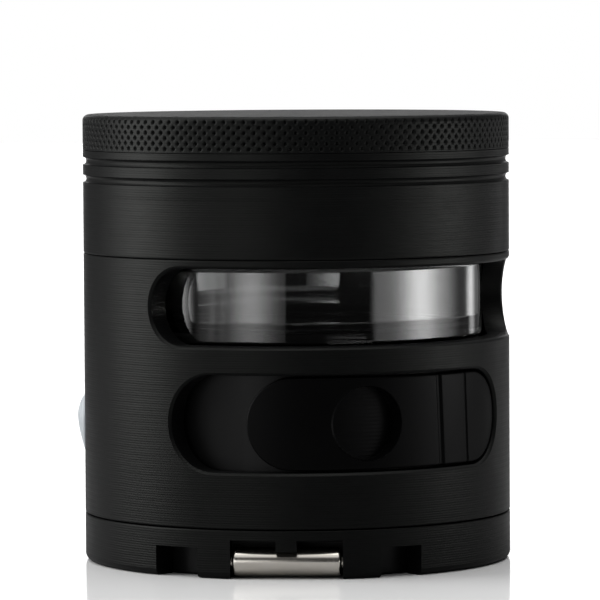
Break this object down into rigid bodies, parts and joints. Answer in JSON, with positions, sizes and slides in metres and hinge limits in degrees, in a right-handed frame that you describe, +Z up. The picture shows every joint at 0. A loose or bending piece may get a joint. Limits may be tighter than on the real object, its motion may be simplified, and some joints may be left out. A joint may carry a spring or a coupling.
{
  "type": "hand-held herb grinder with glass jar",
  "caption": "Round two-stage hand grinder: toothed lid and chamber over a windowed housing with a lift-out glass jar, a pour slider, a side plug and a screw-off base.",
  "frame": {"origin": "on the turning axis at the underside of the base", "axes": "+Z up along the turning axis, -Y towards the front with its windows, +X to the right seen from the front"},
  "size_m": [0.0639, 0.063, 0.0658],
  "materials": {
    "anodised_shell": "matte black anodised, fine turned",
    "anodised_inner": "smooth satin black anodised",
    "nickel_magnet": "nickel plated",
    "nylon": "matte",
    "black_rubber": "matte",
    "clear_glass": "clear",
    "milky_silicone": "milky translucent",
    "satin_steel": "satin, slightly warm",
    "screw_steel": "blackened"
  },
  "bodies": {
    "housing": {"housing_shell": "anodised_shell", "bay_deck": "anodised_inner", "jar_mat": "black_rubber", "storage_liner": "anodised_inner", "seat_magnet_1": "nickel_magnet", "seat_magnet_2": "nickel_magnet", "seat_magnet_3": "nickel_magnet"},
    "chamber": {"grind_chamber": "anodised_shell", "chamber_magnet": "nickel_magnet", "keeper_magnet_1": "nickel_magnet", "keeper_magnet_2": "nickel_magnet", "keeper_magnet_3": "nickel_magnet"},
    "glide": {"glide_ring": "nylon"},
    "lid": {"lid_cap": "anodised_shell", "lid_magnet": "nickel_magnet"},
    "jar": {"glass_jar": "clear_glass"},
    "slider": {"pour_slider": "anodised_inner"},
    "plug": {"side_plug": "milky_silicone"},
    "seal": {"base_seal": "black_rubber"},
    "base": {"base_ring": "anodised_shell", "base_plate": "anodised_inner", "roller_axle": "satin_steel", "base_screw_1": "screw_steel", "base_screw_2": "screw_steel", "base_screw_3": "screw_steel"},
    "roller": {"steel_roller": "satin_steel"}
  },
  "joints": [
    {"name": "jar_lift", "type": "slide", "parent": "housing", "child": "jar", "axis": [0, 0, 1], "range_m": [0, 0.014]},
    {"name": "chamber_lift", "type": "slide", "parent": "jar", "child": "chamber", "axis": [0, 0, 1], "range_m": [0, 0.03]},
    {"name": "lid_lift", "type": "slide", "parent": "chamber", "child": "glide", "axis": [0, 0, 1], "range_m": [0, 0.025]},
    {"name": "lid_turn", "type": "hinge", "parent": "glide", "child": "lid", "pos_m": [0, 0, 0.0602], "axis": [0, 0, 1], "continuous": true},
    {"name": "slider_move", "type": "hinge", "parent": "housing", "child": "slider", "pos_m": [0, 0, 0.02215], "axis": [0, 0, 1], "range_deg": [-21.3, 0]},
    {"name": "plug_pull", "type": "slide", "parent": "housing", "child": "plug", "axis": [-0.9986, 0.0523, 0], "range_m": [0, 0.009]},
    {"name": "base_drop", "type": "slide", "parent": "housing", "child": "seal", "axis": [0, 0, -1], "range_m": [0, 0.0046]},
    {"name": "base_turn", "type": "hinge", "parent": "seal", "child": "base", "pos_m": [0, 0, 0.005], "axis": [0, 0, -1], "range_deg": [0, 1080]},
    {"name": "roller_spin", "type": "hinge", "parent": "base", "child": "roller", "pos_m": [-0.00153, -0.02826, 0.0024], "axis": [0.9985, -0.0541, 0], "continuous": true}
  ],
  "couplings": [
    {"joint": "base_drop", "follows": "base_turn", "m_per_rad": 0.00023873}
  ]
}
